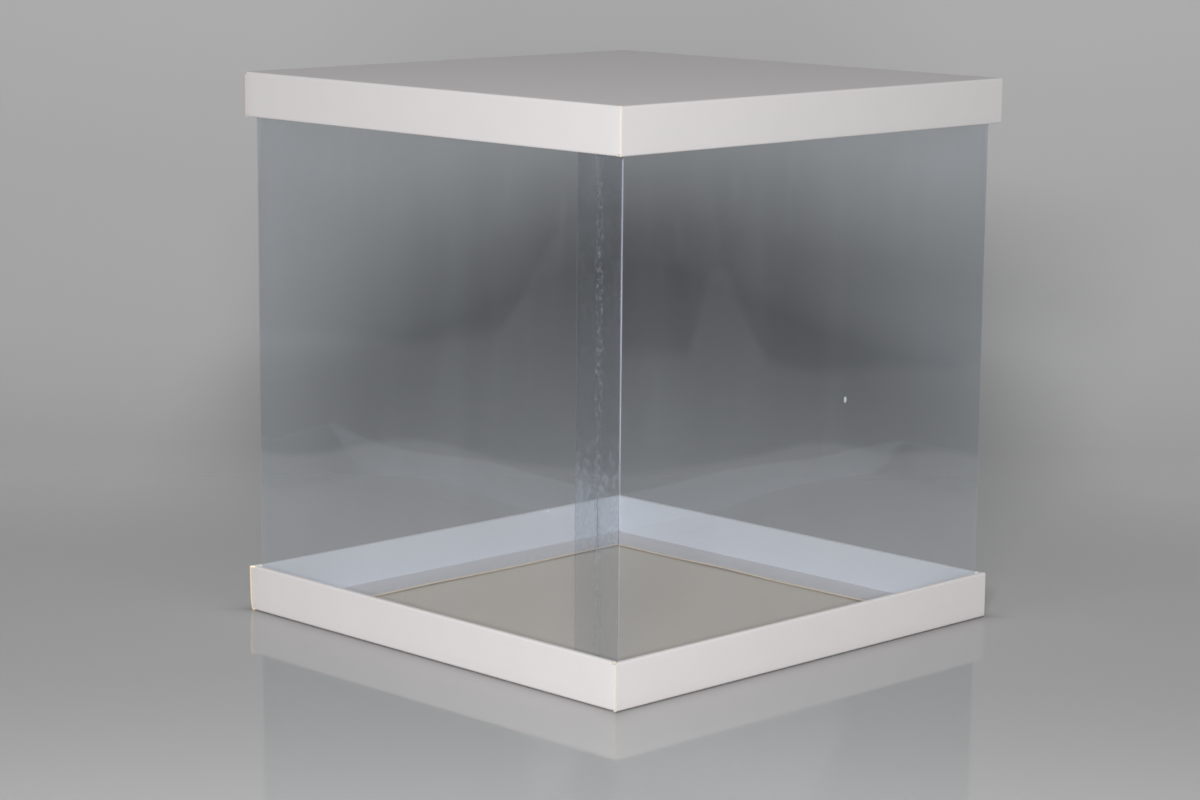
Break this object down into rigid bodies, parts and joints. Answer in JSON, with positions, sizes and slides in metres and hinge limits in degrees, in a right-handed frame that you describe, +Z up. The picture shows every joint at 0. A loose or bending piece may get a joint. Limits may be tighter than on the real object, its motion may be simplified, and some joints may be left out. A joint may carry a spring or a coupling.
{
  "type": "clear box with lift-off lid",
  "caption": "Square clear-sided box: a folded white board base tray, a lift-off clear film sleeve with a glued corner seam, and a matching lift-off board lid.",
  "frame": {"origin": "middle of the underside of the base tray, on the surface that the box stands on", "axes": "+Z up; X and Y square to the walls; the front corner with the glued seam lies between +X and -Y"},
  "size_m": [0.262, 0.262, 0.27],
  "materials": {
    "base_board": "matt white folding board",
    "lid_board": "matt white folding board",
    "clear_film": "clear gloss film",
    "adhesive": "frosted clear adhesive"
  },
  "bodies": {
    "base": {"base_tray": "base_board"},
    "sleeve": {"clear_sleeve": "clear_film", "seam_glue": "adhesive"},
    "lid": {"lid_tray": "lid_board"}
  },
  "joints": [
    {"name": "sleeve_lift", "type": "slide", "parent": "base", "child": "sleeve", "axis": [0, 0, 1], "range_m": [0, 0.28]},
    {"name": "lid_lift", "type": "slide", "parent": "sleeve", "child": "lid", "axis": [0, 0, 1], "range_m": [0, 0.12]}
  ]
}
